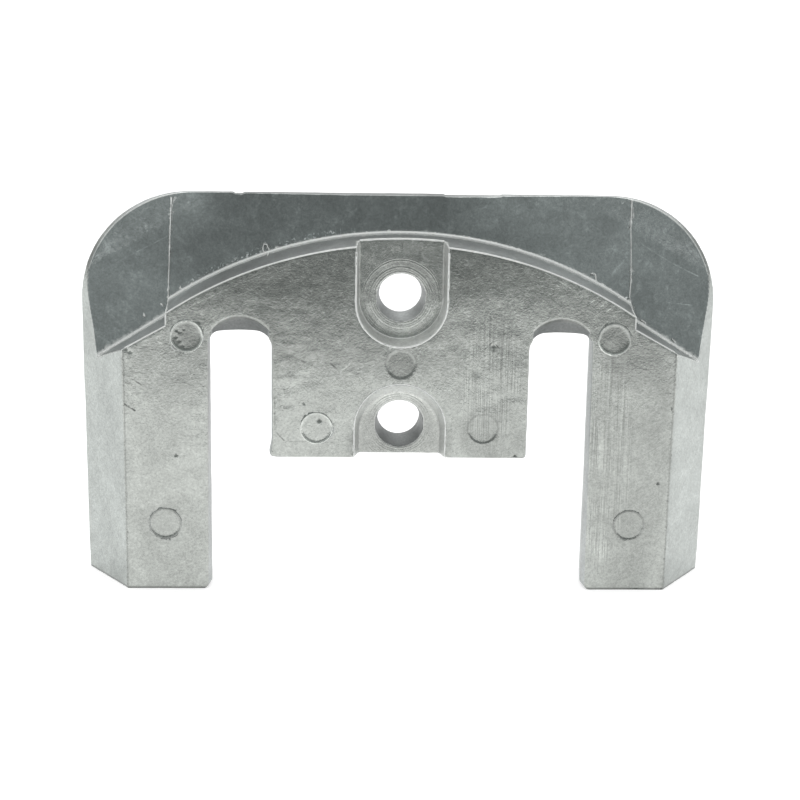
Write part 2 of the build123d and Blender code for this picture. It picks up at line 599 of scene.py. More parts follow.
    def total(self, on: Ground, patches: tuple[Patch, ...]) -> Socket:
        """Unites the masks of several patches."""
        whole = patches[0].mask(on.bench, on.at)
        for patch in patches[1:]:
            whole = on.bench.maths("MAXIMUM", whole, patch.mask(on.bench, on.at))
        return whole

    def stroked(self, on: Ground, turn: float, size: Point, detail: float, warp: float = 0.0) -> Socket:
        """Builds fine strokes of the given length and width, at an angle to the floor, from 0 to 1."""
        laid = on.bench.placed(on.at, (0.0, 0.0, 0.0), (size[0], 1.0, size[1]), turn)
        return on.bench.noise(laid, 1.0, detail, 0.6, warp)

    def strokes(self, on: Ground) -> dict[str, Socket]:
        """Builds the strokes that brush, die and tool have left.

        Args:
            on: what the patterns are built on.

        Returns:
            The brushed strokes with their mask, and the fine lines of the skin.
        """
        bench, at = on.bench, on.at
        brushed = self.stroked(on, 90.0, (26.0, 0.24), 2.0)
        level = self.stroked(on, 8.0, (1.8, 0.8), 3.0, 1.6)
        slanted = self.stroked(on, 36.0, (3.2, 0.42), 2.0, 0.7)
        choice = bench.times(bench.step(bench.noise(at, 17.0, 1.0), 0.5, 0.62), 0.6)
        choice = bench.maths("MAXIMUM", choice, self.total(on, self.hatched))
        lines = bench.add("ShaderNodeMix", {0: choice, 2: level, 3: slanted}, data_type="FLOAT").outputs[0]
        ragged = bench.step(bench.noise(at, 5.0), 0.3, 0.55)
        mask = bench.times(self.total(on, self.brushed), ragged, on.front)
        return {"brushed": brushed, "brushed_mask": mask, "lines": lines}

    def colouring(self, on: Ground, strokes: dict[str, Socket]) -> tuple[Socket, Socket]:
        """Builds the metal's colour and roughness.

        Args:
            on: what the patterns are built on.
            strokes: the strokes of the surface.

        Returns:
            The colour's socket and the roughness's socket.
        """
        bench, at, zones = on.bench, on.at, on.zones
        maths, times = bench.maths, bench.times
        tone: object = self.face
        # The shelf, wall and rim colours paint light onto faces that the light leaves darker; the metal
        # there is the same.
        for zone, colour in (
            (Zone.SHELF, self.shelf),
            (Zone.BEVEL, self.bevel),
            (Zone.WALL, self.wall),
            (Zone.SEAT, self.seat),
            (Zone.RIM, self.rim),
        ):
            tone = bench.blend(zones[zone], tone, colour)
        mottle = bench.noise(at, 2.4, 4.0, 0.65, 1.4)
        shade: object = 1.0
        for pattern, amount in (
            (bench.noise(at, 15.0, 4.0, 0.6, 0.9), self.clouds),
            (mottle, self.mottle),
            (bench.noise(at, 0.5, 2.0, 0.7), self.specks),
        ):
            shade = times(shade, maths("MULTIPLY_ADD", pattern, amount, 1.0 - amount / 2))
        fine = times(maths("SUBTRACT", strokes["lines"], 0.5), self.lines)
        brush = times(maths("SUBTRACT", strokes["brushed"], 0.48), strokes["brushed_mask"])
        smears = bench.step(bench.noise(at, 10.0, 5.0, 0.7, 2.5), 0.5, 0.8)
        # Darker places, mostly painted shade, and painted shade on the undersides.
        dark_places = times(self.total(on, self.dark_places), maths("SUBTRACT", 1.0, zones[Zone.BACK]), self.darkening)
        dark_places = maths("MAXIMUM", dark_places, times(zones[Zone.UNDER], self.under_shade))
        marks = times(self.marks(on), on.front)
        shade = times(
            shade,
            maths("MULTIPLY_ADD", fine, maths("SUBTRACT", 1.0, zones[Zone.SHELF]), 1.0),
            maths("MULTIPLY_ADD", brush, self.brush, 1.0),
            maths("ADD", 1.0, times(smears, zones[Zone.SHELF], self.smears)),
            maths("SUBTRACT", 1.0, dark_places),
            maths("MAXIMUM", maths("ADD", 1.0, marks), self.darkest),
        )
        grey = bench.add("ShaderNodeCombineColor", {0: shade, 1: shade, 2: shade}).outputs[0]
        tone = bench.blend(1.0, tone, grey, "MULTIPLY")
        # Edges lighter: partly wear, partly painted highlight, left off the undersides that the light
        # misses.
        wear_and_highlight = times(zones[Zone.RIDGE], maths("SUBTRACT", 1.0, zones[Zone.UNDER]), self.wear_and_highlight)
        tone = bench.blend(wear_and_highlight, tone, self.bright)
        # Dark lines along the bevels, and painted shade at the feet and in hollows.
        tone = bench.blend(self.shade_and_line_mask(on), tone, self.shade_and_line_tone)
        shine = maths("MULTIPLY_ADD", mottle, 0.2, self.roughness - 0.1)
        for zone, more in ((Zone.HOLLOW, 0.25), (Zone.WALL, 0.3), (Zone.SHELF, -0.05)):
            shine = maths("MULTIPLY_ADD", zones[zone], more, shine)
        return tone, shine

    def marks(self, on: Ground) -> Socket:
        """Adds up the scratches, the pin marks' rings with their arcs of painted light and shade, and the
        specks of burr at the arch's foot.
        """
        bench, at, plate = on.bench, on.at, on.plate
        total: object = 0.0
        for scratch in self.scratches:
            total = bench.maths("ADD", total, scratch.mask(bench, at))
        total = bench.times(total, bench.step(bench.noise(at, 0.9, 2.0, 0.6), 0.3, 0.6, 0.0, 1.6))
        for pin in PIN_MARKS:
            total = bench.maths("ADD", total, pin.mask(bench, at, plate.pin_radius))
        reach = bench.from_axis(at, 0.0, plate.arch_top - plate.arch_radius)[1]
        band = bench.step(bench.off(reach, plate.arch_radius + 2.0), 1.1, 0.2)
        span = bench.step(bench.off(bench.parts(at)["X"], -33.0), 24.0, 14.0)
        specks = bench.step(bench.noise(at, 0.8, 2.0, 0.7, 1.0), 0.56, 0.66)
        specks = bench.times(band, span, specks, on.zones[Zone.SHELF])
        return bench.maths("MULTIPLY_ADD", specks, 2.2, total)

    def shade_and_line_mask(self, on: Ground) -> Socket:
        """Builds the dark lines along the bevels, the painted shade along the feet where they meet the
        floor, and the painted shade in hollows.
        """
        bench, zones = on.bench, on.zones
        maths, times, step = bench.maths, bench.times, bench.step
        where = bench.parts(on.at)
        line = bench.off(bench.off(where["X"]), on.plate.edge_line)
        pits = step(bench.noise(on.at, 0.7, 2.0, 0.7), 0.54, 0.66)
        below = step(where["Z"], 68.0, 66.0)
        many = step(where["Z"], 38.0, 62.0, 0.7, 1.0)
        thick = times(step(line, 0.7, 0.1), below, many, pits)
        thin = times(step(line, 0.35, 0.05), below, 0.4)
        open_side = maths("ADD", zones[Zone.FACE], zones[Zone.BEVEL], clamp=True)
        along = times(maths("MAXIMUM", thick, thin), open_side)
        # Painted shade: the lowest part of the feet darker, as where they meet the floor.
        foot = times(step(where["Z"], 0.8, 0.3), 0.8)
        # Painted shade in hollows, weaker on the seat walls.
        hollow = times(zones[Zone.HOLLOW], maths("MULTIPLY_ADD", zones[Zone.RIM], -0.35, 0.5))
        return maths("MAXIMUM", times(maths("MAXIMUM", along, foot), 0.8), hollow)

    def rings(self, on: Ground) -> Socket:
        """Builds the turned rings round the bolt holes, in millimetres of height."""
        bench, at = on.bench, on.at
        height: object = 0.0
        for middle in (on.plate.upper_hole, on.plate.lower_hole):
            reach = bench.from_axis(at, 0.0, middle)[1]
            uneven = bench.maths("MULTIPLY_ADD", bench.noise(at, 9.0, 1.0), 0.5, reach)
            rows = bench.maths("DIVIDE", uneven, self.ring_pitch)
            laid = bench.add("ShaderNodeCombineXYZ", {0: rows}).outputs[0]
            wave = bench.times(bench.noise(laid, 1.0, 2.0, 0.6), bench.step(reach, 11.5, 9.0))
            height = bench.maths("ADD", height, wave)
        return bench.times(height, on.zones[Zone.SEAT], self.ring_height)

    def relief(self, on: Ground, strokes: dict[str, Socket]) -> Socket:
        """Builds the height of the fine marks, in millimetres.

        Args:
            on: what the patterns are built on.
            strokes: the strokes of the surface.

        Returns:
            The height's socket.
        """
        bench, at, zones = on.bench, on.at, on.zones
        maths, times = bench.maths, bench.times
        cast = maths("MAXIMUM", zones[Zone.FACE], times(zones[Zone.SEAT], 0.5))
        skin = times(bench.noise(at, 0.75, 3.0, 0.6, 0.5), self.skin_height)
        lines = times(strokes["lines"], self.line_height)
        height = times(maths("ADD", skin, lines), maths("MULTIPLY_ADD", cast, 0.85, 0.15))
        height = maths("MULTIPLY_ADD", bench.noise(at, 0.38, 2.0, 0.6), self.grain_height, height)
        brush = times(strokes["brushed"], strokes["brushed_mask"])
        height = maths("MULTIPLY_ADD", brush, self.brush_height, height)
        return maths("ADD", height, self.rings(on))


@dataclass(frozen=True)
class FloorFinish:
    """Smooth white paper, lit a little from below as on a light table."""

    colour: Colour = (0.60, 0.60, 0.60)
    glow: float = 0.60
    fibre: float = 0.02

    def material(self) -> bpy.types.Material:
        """Builds the paper."""
        paper, bench, shader = start_material("floor_paper")
        fibre = bench.noise(bench.add("ShaderNodeTexCoord").outputs["Object"], 0.004)
        lighter = tuple(part + self.fibre for part in self.colour)
        inputs = {
            "Base Color": bench.blend(fibre, self.colour, lighter),
            "Roughness": 0.9,
            "Specular IOR Level": 0.1,
            "Emission Color": (1.0, 1.0, 1.0),
            "Emission Strength": self.glow,
        }
        bench.fill(shader, inputs)
        return paper


@dataclass(frozen=True)
class Plate:
    """Sizes of the casting that the dressing needs, in millimetres."""

    width: float = 158.75
    height: float = 98.3
    thickness: float = 16.5
    arch_radius: float = 103.0
    arch_top: float = 88.4
    wall_draft: float = 4.0
    shelf_depth: float = 11.0
    insert_half: float = 57.3
    end_wall_start: float = 67.9
    end_wall_angle: float = 29.2
    end_shelf_depth: float = 10.2
    end_wall_drop: float = 1.1
    drop_at_bevel: float = 0.58
    edge_line: float = 67.7
    seat_half: float = 11.1
    upper_hole: float = 74.15
    lower_hole: float = 42.4
    upper_seat_depth: float = 6.0
    pin_radius: float = 3.8

    def past_arch(self, x: np.ndarray, z: np.ndarray) -> np.ndarray:
        """Tells how far points lie above the shelf's wall, arched or straight."""
        arched = np.hypot(x, z - self.arch_top + self.arch_radius) - self.arch_radius
        angle = math.radians(self.end_wall_angle)
        across, up = np.abs(x) - self.insert_half, z - self.end_wall_start
        return np.where(across < 0.0, arched, across * math.sin(angle) + up * math.cos(angle))

    def tapered(self, x: np.ndarray, depth: np.ndarray) -> np.ndarray:
        """Tells how far the straight end walls lie lower towards the plate's sides."""
        share = (np.abs(x) - self.insert_half) / (self.edge_line - self.insert_half) * self.drop_at_bevel
        behind = np.clip(depth / self.end_shelf_depth, 0.0, 1.0)
        return self.end_wall_drop * np.clip(share, 0.0, 1.0) * behind

    def masks(self, spots: np.ndarray, facing: np.ndarray) -> dict[Zone, np.ndarray]:
        """Marks the zones.

        Args:
            spots: points in millimetres.
            facing: their normals.

        Returns:
            For each zone, a number from 0 to 1 for each point.
        """
        x, depth, z = spots[:, 0], spots[:, 1] + self.thickness / 2, spots[:, 2]
        ahead = ease(-facing[:, 1], 0.6, 0.85)
        shelf = ahead * ease(self.past_arch(x, z), 0.2, 0.7) * ease(depth, 8.6, 9.4)
        seat = ahead * ease(np.abs(x), self.seat_half + 0.3, self.seat_half - 0.3)
        seat *= ease(depth, 3.3, 3.9) * ease(depth, 7.4, 6.8)
        side = ease(np.abs(facing[:, 0]), 0.45, 0.7)
        side *= ease(np.abs(x), self.width / 2 - 13.5, self.width / 2 - 11.0)
        face = ahead * ease(depth, 1.2, 0.7)
        back = ease(facing[:, 1], 0.6, 0.9)
        return {
            Zone.SHELF: shelf,
            Zone.SEAT: seat,
            Zone.BEVEL: side,
            Zone.FACE: face,
            Zone.WALL: np.clip(1.0 - shelf - seat - side - face - back, 0.0, 1.0),
            Zone.UNDER: ease(-facing[:, 2], 0.25, 0.65) * ease(np.abs(x), 28.0, 30.0),
            Zone.BACK: back,
        }


@dataclass(frozen=True)
class Bead:
    """A thin raised line on the casting, such as flash or a burr.

    Attributes:
        path: its points, as distance across and height, in millimetres, with the depth behind
            the front face where it isn't laid on the surface.
        radius: half its thickness.
        proud: how far its middle stands out of the surface.
        ragged: how uneven it is, as a share of its radius.
    """

    path: Path
    radius: float = 0.2
    proud: float = 0.0
    ragged: float = 0.3

    def points(self, plate: Plate, solid: BVHTree, pitch: float = 0.4) -> np.ndarray:
        """Lays the path on the surface, or at the depth that its points give.

        Args:
            plate: the casting's sizes.
            solid: the casting's surface, in metres.
            pitch: distance between points, in millimetres.

        Returns:
            One row of three numbers for each point, in millimetres.
        """
        rows: list[tuple[float, float, float]] = []
        for start, end in zip(self.path, self.path[1:]):
            count = max(1, round(math.dist(start, end) / pitch))
            for number in range(count + 1 if end is self.path[-1] else count):
                x, z, *depth = (a + (b - a) * number / count for a, b in zip(start, end))
                if depth:
                    y = depth[0] - plate.thickness / 2
                else:
                    hit = solid.ray_cast(Vector((x * MM, -0.1, z * MM)), Vector((0, 1, 0)))[0]
                    if hit is None:
                        continue
                    y = hit.y / MM - self.proud
                rows.append((x, y, z))
        return np.array(rows)


@dataclass(frozen=True)
class BeadTree:
    """A node tree that turns lines into uneven round beads of metal."""

    sides: int = 8
    grain: float = 0.9
    thinnest: float = 0.05

    def tree(self) -> bpy.types.NodeTree:
        """Builds the tree.

        Returns:
            The node tree, whose inputs are the bead's sides, the grain of its unevenness, the
            seed and the metal.
        """
        bench = start_tree("metal_beads", {"Sides": self.sides, "Grain": self.grain * MM, "Seed": 3.0})
        given = bench.add("NodeGroupInput").outputs
        radius, ragged = (
            bench.add("GeometryNodeInputNamedAttribute", {"Name": name}, data_type="FLOAT").outputs[0]
            for name in ("bead_radius", "bead_ragged")
        )
        pattern = {
            "Vector": bench.add("GeometryNodeInputPosition").outputs[0],
            "W": given["Seed"],
            "Scale": bench.maths("DIVIDE", 1.0, given["Grain"]),
            "Detail": 2.0,
        }
        wave = bench.add("ShaderNodeTexNoise", pattern, noise_dimensions="4D").outputs["Fac"]
        swing = bench.times(bench.maths("MULTIPLY_ADD", wave, 4.0, -2.0), ragged)
        scale = bench.times(radius, bench.maths("ADD", 1.0, swing))
        line = bench.add("GeometryNodeMeshToCurve", {"Mesh": given["Geometry"]})
        ring = bench.add("GeometryNodeCurvePrimitiveCircle", {"Resolution": given["Sides"], "Radius": 1.0})
        parts = {
            "Curve": line.outputs[0],
            "Profile Curve": ring.outputs["Curve"],
            "Scale": bench.maths("MAXIMUM", scale, self.thinnest * MM),
            "Fill Caps": True,
        }
        tube = bench.add("GeometryNodeCurveToMesh", parts)
        return end_tree(bench, tube.outputs[0], given["Metal"])

    def mesh(
        self, lines: list[tuple[Bead, np.ndarray]], metal: bpy.types.Material, seed: int
    ) -> bpy.types.Mesh:
        """Makes the beads.

        Args:
            lines: each bead with its points in millimetres.
            metal: the beads' material.
            seed: picks the unevenness.

        Returns:
            A plain mesh of closed tubes.
        """
        points = np.concatenate([spots for _, spots in lines]) * MM
        edges: list[tuple[int, int]] = []
        first = 0
        for _, spots in lines:
            edges += [(first + n, first + n + 1) for n in range(len(spots) - 1)]
            first += len(spots)
        wires = bpy.data.meshes.new("bead_lines")
        wires.from_pydata(points.tolist(), edges, [])
        counts = [len(spots) for _, spots in lines]
        for name, values in (
            ("bead_radius", [bead.radius * MM for bead, _ in lines]),
            ("bead_ragged", [bead.ragged for bead, _ in lines]),
        ):
            layer = wires.attributes.new(name, "FLOAT", "POINT")
            layer.data.foreach_set("value", np.repeat(np.array(values, np.float32), counts))
        inputs = {"Sides": self.sides, "Grain": self.grain * MM, "Seed": float(seed), "Metal": metal}
        return run_tree(wires, self.tree(), inputs)


@dataclass(frozen=True)
class LipTree:
    """A node tree that sets a raised round lip at each ejector pin mark that has one."""

    lip: float = 0.17
    outside: float = 0.1

    def tree(self) -> bpy.types.NodeTree:
        """Builds the tree.

        Returns:
            The node tree, whose inputs are the mark's radius, the lip's thickness and the metal.
        """
        bench = start_tree("pin_mark_lips", {"Mark Radius": 0.0, "Lip": 0.0})
        given = bench.add("NodeGroupInput").outputs
        path, ring = (
            bench.add("GeometryNodeCurvePrimitiveCircle", {"Resolution": sides, "Radius": given[name]})
            for name, sides in (("Mark Radius", 48), ("Lip", 8))
        )
        parts = {"Curve": path.outputs[0], "Profile Curve": ring.outputs[0]}
        tube = bench.add("GeometryNodeCurveToMesh", parts)
        turn = {"Geometry": tube.outputs[0], "Rotation": (math.pi / 2, 0, 0)}
        upright = bench.add("GeometryNodeTransform", turn)
        copies = {"Points": given["Geometry"], "Instance": upright.outputs[0]}
        placed = bench.add("GeometryNodeInstanceOnPoints", copies)
        return end_tree(bench, placed.outputs[0], given["Metal"])

    def mesh(self, plate: Plate, metal: bpy.types.Material) -> bpy.types.Mesh:
        """Makes the lips.

        Args:
            plate: the casting's sizes.
            metal: the lips' material.

        Returns:
            A plain mesh of closed rings.
        """
        front = plate.thickness / 2
        pins = [pin for pin in PIN_MARKS if pin.lip is not None]
        marks = bpy.data.meshes.new("pin_marks")
        marks.from_pydata([(pin.x * MM, (pin.lip - front) * MM, pin.z * MM) for pin in pins], [], [])
        radius = (plate.pin_radius + self.outside) * MM
        return run_tree(marks, self.tree(), {"Mark Radius": radius, "Lip": self.lip * MM, "Metal": metal})


# Sizes of the small marks, in millimetres: distance across and height of each point of a line,
# then for each pit its place, radius and depth, and for each nick its two ends and its depth.
FLASH_LINES = (
    ((-56.6, 96.9), (-57.0, 89.0), (-57.2, 81.5), (-57.5, 71.4)),
    ((57.2, 97.7), (57.2, 91.4), (57.4, 85.1), (57.5, 77.5), (57.2, 73.7), (58.1, 70.4)),
)
PITS = (
    (-55.2, 35.2, 0.35, 0.3),
    (64.9, 28.6, 0.35, 0.25),
    (-19.9, 44.4, 0.5, 0.3),
    (-54.6, 66.9, 0.3, 0.14),
    (-53.9, 66.4, 0.3, 0.14),
    (-54.9, 65.2, 0.35, 0.16),
    (-54.1, 64.2, 0.35, 0.16),
    (-52.9, 67.1, 0.25, 0.1),
    (-53.3, 63.0, 0.3, 0.14),
    (28.8, 35.2, 0.5, 0.5),
    (22.7, 63.6, 0.5, 0.15),
    (56.6, 72.9, 0.5, 0.4),
    (-67.0, 62.1, 0.35, 0.2),
    (-66.0, 61.4, 0.4, 0.2),
)
TOP_NICKS = ((-41.1, -39.1, 0.3), (10.8, 24.5, 0.22))
BURRS = (
    ((-33.6, 83.6), (-34.1, 85.0), (-33.8, 86.0), (-33.1, 86.0), (-32.6, 84.8), (-32.8, 83.7)),
    ((37.4, 82.7), (37.8, 82.2)),
    ((41.0, 81.4), (41.4, 80.6)),
    ((47.3, 79.5), (48.4, 79.3), (48.7, 77.4)),
    ((53.8, 74.6), (54.5, 73.6)),
    ((57.1, 73.0), (57.4, 71.6)),
    ((-54.5, 75.1), (-54.0, 74.4)),
    ((-59.2, 70.9), (-58.7, 70.4)),
    ((-63.6, 68.0), (-63.2, 67.7)),
    ((60.3, 68.0), (61.4, 67.3)),
    ((68.3, 63.2), (69.1, 62.4)),
)


@dataclass
class AnodeCasting:
    """The whole anode, cast as one piece.

    Attributes:
        plate: its sizes.
        finish: its metal.
        voxel: size of the cells that the surface is rebuilt from, in millimetres.
        soft_passes: how often the surface is evened out, which rounds its edges.
        faces: most triangles of the skin.
        seed: picks the cast skin and the unevenness of the beads.
        swell, grain, wrinkles: how uneven the cast skin is, coarse, fine and in patches.
        face_sink: how far the face is sunk, so that its marks can stand out of it.
        pin_fill: how much shallower the ejector pin marks are than in the solid.
        flare: how far the tongue's lower left corner leans out.
    """

    plate: Plate
    finish: CastMetal
    voxel: float = 0.25
    soft_passes: int = 3
    faces: int = 160_000
    seed: int = 11
    swell: float = 0.05
    grain: float = 0.02
    wrinkles: float = 0.04
    face_sink: float = 0.1
    pin_fill: float = 0.17
    flare: float = 0.6

    def solid(self) -> bpy.types.Mesh:
        """Copies the casting's mesh and merges its triangles."""
        work = bmesh.new()
        work.from_mesh(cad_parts[CASTING_NODE].data)
        bmesh.ops.remove_doubles(work, verts=work.verts, dist=0.001 * MM)
        mesh = bpy.data.meshes.new("casting_solid")
        work.to_mesh(mesh)
        work.free()
        return mesh

    def arc(self, depth: float, start: float, end: float, count: int = 40) -> Path:
        """Gives points of the arched wall at a depth, between two distances across."""
        low = self.plate.arch_top - self.plate.arch_radius
        radius = self.plate.arch_radius + depth * math.tan(math.radians(self.plate.wall_draft))
        span = [math.asin(x / radius) for x in (start, end)]
        turns = [span[0] + (span[1] - span[0]) * n / count for n in range(count + 1)]
        return tuple((radius * math.sin(a), low + radius * math.cos(a), depth) for a in turns)

    def end_wall(self, side: int, depth: float, reach: float) -> Path:
        """Gives the two ends of a straight end wall's line at a depth."""
        plate = self.plate
        angle = math.radians(plate.end_wall_angle)
        out = depth * math.tan(math.radians(plate.wall_draft))
        start = (plate.insert_half + out * math.sin(angle), plate.end_wall_start + out * math.cos(angle))
        end = (start[0] + reach * math.cos(angle), start[1] - reach * math.sin(angle))
        drop = float(plate.tapered(np.array(end[0]), np.array(depth)))
        end = (end[0], end[1] - drop / math.cos(angle))
        return tuple((side * x, z, depth) for x, z in (start, end))

    def rim(self, middle: float, radius: float, depth: float, straight_end: float) -> Path:
        """Gives the points of a bolt seat's rim: along one side, round, and along the other."""
        count = 36
        turn = math.copysign(math.pi, middle - straight_end)
        bow = [
            (-radius * math.cos(turn * n / count), middle + radius * math.sin(turn * n / count), depth)
            for n in range(count + 1)
        ]
        return ((-radius, straight_end, depth), *bow, (radius, straight_end, depth))

    def flash(self) -> list[Bead]:
        """Lists the flash lines, burrs and witness lines that stand proud of the casting.

        Returns:
            The beads of metal that draw them.
        """
        plate = self.plate
        half, seat = plate.insert_half, plate.seat_half
        beads = [Bead(path, radius, 0.02, 0.7) for path, radius in zip(FLASH_LINES, (0.15, 0.11))]
        beads += [Bead(path, 0.16, 0.04, 0.4) for path in BURRS]
        beads.append(Bead(self.arc(plate.shelf_depth, -half, half, 80), 0.62, ragged=0.12))
        beads.append(Bead(self.arc(plate.upper_seat_depth + 0.1, -10.3, 10.3), 0.22, ragged=0.2))
        for start, end in ((-half, -seat), (seat, half)):
            beads.append(Bead(self.arc(0.2, start, end), 0.2, ragged=0.2))
        for side in (-1, 1):
            beads.append(Bead(self.end_wall(side, plate.end_shelf_depth, 18.2), 0.5, ragged=0.12))
            beads.append(Bead(self.end_wall(side, 0.2, 11.5), 0.18, ragged=0.2))
            jog = ((67.9, 0.2), (71.0, 0.2), (71.75, plate.shelf_depth))
            beads.append(Bead(tuple((side * half, z, depth) for z, depth in jog), 0.2, ragged=0.3))
        beads.append(Bead(self.rim(plate.upper_hole, seat + 0.1, 0.22, 86.6), 0.24, ragged=0.2))
        beads.append(Bead(self.rim(plate.upper_hole, seat - 0.7, 5.9, 74.2), 0.2, ragged=0.1))
        beads.append(Bead(self.rim(plate.lower_hole, seat + 0.2, 0.24, 34.9), 0.2, ragged=0.2))
        return beads

    def build(self) -> bpy.types.Object:
        """Builds and dresses the casting.

        Returns:
            The finished piece, which stands for the CAD node.
        """
        metal = self.finish.material(self.plate)
        mesh = self.rebuilt(self.solid())
        self.soften(mesh)
        self.sculpt(mesh)
        mesh = self.thinned(mesh)
        surface = self.surface(mesh)
        lines = [(bead, bead.points(self.plate, surface)) for bead in self.flash()]
        beads = BeadTree().mesh(lines, metal, self.seed)
        lips = LipTree().mesh(self.plate, metal)
        LOG.info("%d beads, %d faces; lips: %d faces", len(lines), len(beads.polygons), len(lips.polygons))
        mesh = self.fused(self.fused(mesh, beads), lips)
        self.place(mesh, self.read(mesh)[0])
        self.mark_zones(mesh)
        mesh.materials.clear()
        mesh.materials.append(metal)
        mesh.shade_smooth()
        piece = put("anode_dressed", mesh)
        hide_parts(CASTING_NODE)
        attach(piece, CASTING_BODY)
        return piece

    def surface(self, mesh: bpy.types.Mesh) -> BVHTree:
        """Makes a search tree of a mesh's surface."""
        work = bmesh.new()
        work.from_mesh(mesh)
        tree = BVHTree.FromBMesh(work)
        work.free()
        return tree

    def rebuilt(self, mesh: bpy.types.Mesh) -> bpy.types.Mesh:
        """Rebuilds a mesh as one closed skin of small even faces."""
        holder = put("casting_skin", mesh)
        modifier = holder.modifiers.new("skin", "REMESH")
        modifier.mode = "VOXEL"
        modifier.voxel_size = self.voxel * MM * 1
        return bake(holder)

    def soften(self, mesh: bpy.types.Mesh) -> None:
        """Rounds the edges a little by evening out the points."""
        spots = np.empty(len(mesh.vertices) * 3)
        mesh.vertices.foreach_get("co", spots)
        spots = spots.reshape(-1, 3)
        start, end, degree = self.links(mesh)
        for _ in range(self.soft_passes):
            total = np.zeros_like(spots)
            for axis in range(3):
                for here, there in ((start, end), (end, start)):
                    total[:, axis] += np.bincount(here, spots[there, axis], len(spots))
            spots = 0.5 * spots + 0.5 * total / degree[:, None]
        mesh.vertices.foreach_set("co", spots.ravel())
        mesh.update()

    def read(self, mesh: bpy.types.Mesh) -> tuple[np.ndarray, np.ndarray]:
        """Reads a mesh's points in millimetres and its normals."""
        spots = np.empty(len(mesh.vertices) * 3)
        facing = np.empty(len(mesh.vertices) * 3)
        mesh.vertices.foreach_get("co", spots)
        mesh.vertex_normals.foreach_get("vector", facing)
        return spots.reshape(-1, 3) / MM, facing.reshape(-1, 3)

    def sculpt(self, mesh: bpy.types.Mesh) -> None:
        """Gives the skin its cast unevenness, pits and nicks, and moves the edges that wear has changed.

        Args:
            mesh: the rebuilt skin, whose points are moved.
        """
        spots, facing = self.read(mesh)
        x, z = spots[:, 0], spots[:, 2]
        zones = self.plate.masks(spots, facing)
        skin, patches, folds = (ValueNoise(self.seed + n) for n in range(3))
        rise = self.swell * skin.cloud(spots, 13.0) + self.grain * skin.cloud(spots, 2.6)
        rise *= 1.0 - zones[Zone.BACK]
        rise -= self.face_sink * zones[Zone.FACE]
        wrinkled = zones[Zone.FACE] * ease(patches.cloud(spots, 16.0, 2), -0.2, 0.5)
        rise += wrinkled * self.wrinkles * folds.cloud(spots, (4.5, 4.5, 2.2), 2)
        for pin in PIN_MARKS:
            rise += self.pin_fill * zones[Zone.FACE] * ease(np.hypot(x - pin.x, z - pin.z), 4.0, 3.5)
        for pit_x, pit_z, radius, deep in PITS:
            away = np.hypot(x - pit_x, z - pit_z) / radius
            rise -= deep * np.exp(-(away**2)) * (zones[Zone.FACE] + zones[Zone.SHELF])
        spots = spots + facing * rise[:, None]
        x, z = spots[:, 0], spots[:, 2]
        for low_x, high_x, drop in TOP_NICKS:
            z -= drop * ease(x, low_x - 0.4, low_x) * ease(x, high_x + 0.4, high_x) * ease(z, 97.6, 98.2)
        x -= self.flare * ease(z, 39.0, 34.8) * ease(x, -30.5, -31.6) * ease(x, -40.0, -38.0)
        self.taper(spots)
        self.place(mesh, spots)

    def taper(self, spots: np.ndarray) -> None:
        """Lowers the foot of the two straight end walls, more towards the plate's sides."""
        plate = self.plate
        depth = spots[:, 1] + plate.thickness / 2
        past = plate.past_arch(spots[:, 0], spots[:, 2])
        drop = plate.tapered(spots[:, 0], depth) * ease(np.abs(spots[:, 0]), 76.8, 75.3)
        drop *= ease(past, 7.0, 1.0) * ease(past, -2.5, -0.3)
        spots[:, 2] -= drop / math.cos(math.radians(plate.end_wall_angle))

    def place(self, mesh: bpy.types.Mesh, spots: np.ndarray) -> None:
        """Writes a mesh's points, given in millimetres, and keeps them in the solid's box."""
        plate = self.plate
        low = np.array([-plate.width / 2, -plate.thickness / 2, 0.0])
        high = np.array([plate.width / 2, plate.thickness / 2, plate.height])
        mesh.vertices.foreach_set("co", (np.clip(spots, low, high) * MM).ravel())
        mesh.update()

    def thinned(self, mesh: bpy.types.Mesh) -> bpy.types.Mesh:
        """Brings a mesh under the most triangles it may have."""
        triangles = sum(len(face.vertices) - 2 for face in mesh.polygons)
        holder = put("casting_skin", mesh)
        modifier = holder.modifiers.new("thin", "DECIMATE")
        modifier.ratio = min(1.0, self.faces / triangles)
        LOG.info("skin: %d triangles, kept %.2f", triangles, modifier.ratio)
        return bake(holder)

    def bends(self, mesh: bpy.types.Mesh) -> dict[Zone, np.ndarray]:
        """Finds the ridges and hollows of a mesh from how far each point lies out of its neighbours."""
        spots, facing = self.read(mesh)
        start, end, count = self.links(mesh)
        gap = spots[start] - spots[end]
        span = np.maximum(np.linalg.norm(gap, axis=1), 1e-3) ** 2
        out = np.bincount(start, (gap * facing[start]).sum(1) / span, len(spots))
        out += np.bincount(end, -(gap * facing[end]).sum(1) / span, len(spots))
        bend = 2.0 * out / count
        return {Zone.RIDGE: ease(bend, 0.35, 1.3), Zone.HOLLOW: ease(bend, -0.35, -1.3)}

    def links(self, mesh: bpy.types.Mesh) -> tuple[np.ndarray, np.ndarray, np.ndarray]:
        """Reads the two ends of each edge, and how many edges meet at each point."""
        ends = np.empty(len(mesh.edges) * 2, int)
        mesh.edges.foreach_get("vertices", ends)
        start, end = ends.reshape(-1, 2).T
        return start, end, np.bincount(ends, minlength=len(mesh.vertices))

